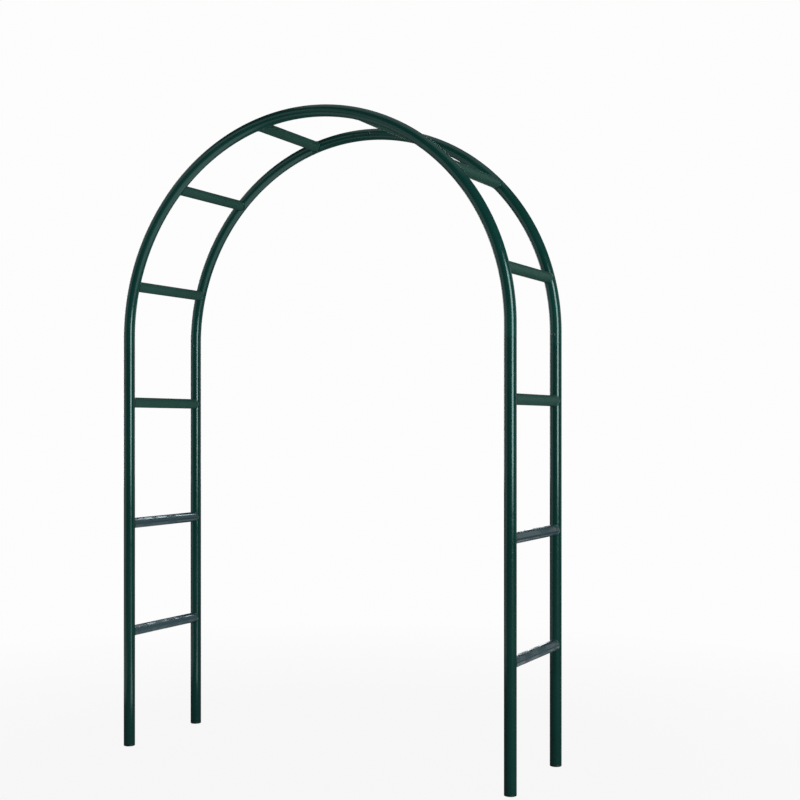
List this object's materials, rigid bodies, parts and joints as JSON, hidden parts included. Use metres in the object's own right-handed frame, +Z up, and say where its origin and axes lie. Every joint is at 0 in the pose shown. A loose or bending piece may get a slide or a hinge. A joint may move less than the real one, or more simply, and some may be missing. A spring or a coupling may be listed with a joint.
{
  "type": "metal trellis arch",
  "caption": "Free-standing garden arch of round steel tube: front and rear semicircular hoops on straight legs, joined by welded rungs for climbing plants over a path.",
  "frame": {"origin": "on the ground, midway between the four feet", "axes": "+X across the walkway from the left legs to the right legs, +Y through the arch from the front hoop to the rear hoop, +Z up"},
  "size_m": [1.441, 0.428, 2.114],
  "materials": {
    "tube_paint": "satin dark green powder coat",
    "rung_paint": "satin dark green powder coat",
    "weld_paint": "satin dark green powder coat over the weld bead",
    "screw_paint": "colour-matched coated screw head",
    "sleeve_steel": "zinc-plated steel tube",
    "nut_steel": "zinc-plated",
    "plug_plastic": "moulded, lightly grained"
  },
  "bodies": {
    "root": {"left_front_leg_tube": "tube_paint", "left_rear_leg_tube": "tube_paint", "right_front_leg_tube": "tube_paint", "right_rear_leg_tube": "tube_paint", "left_front_arc_tube": "tube_paint", "left_rear_arc_tube": "tube_paint", "right_front_arc_tube": "tube_paint", "right_rear_arc_tube": "tube_paint", "left_leg_rung_lower": "rung_paint", "left_leg_rung_middle": "rung_paint", "left_leg_rung_upper": "rung_paint", "right_leg_rung_lower": "rung_paint", "right_leg_rung_middle": "rung_paint", "right_leg_rung_upper": "rung_paint", "left_arc_rung_lower": "rung_paint", "left_arc_rung_middle": "rung_paint", "left_arc_rung_upper": "rung_paint", "right_arc_rung_lower": "rung_paint", "right_arc_rung_middle": "rung_paint", "right_arc_rung_upper": "rung_paint", "left_leg_welds": "weld_paint", "right_leg_welds": "weld_paint", "left_arc_welds": "weld_paint", "right_arc_welds": "weld_paint", "left_front_leg_sleeve": "sleeve_steel", "left_rear_leg_sleeve": "sleeve_steel", "right_front_leg_sleeve": "sleeve_steel", "right_rear_leg_sleeve": "sleeve_steel", "front_crown_sleeve": "sleeve_steel", "rear_crown_sleeve": "sleeve_steel", "left_front_foot_plug": "plug_plastic", "left_rear_foot_plug": "plug_plastic", "right_front_foot_plug": "plug_plastic", "right_rear_foot_plug": "plug_plastic", "joint_screws": "screw_paint", "joint_nuts": "nut_steel"}
  },
  "joints": []
}
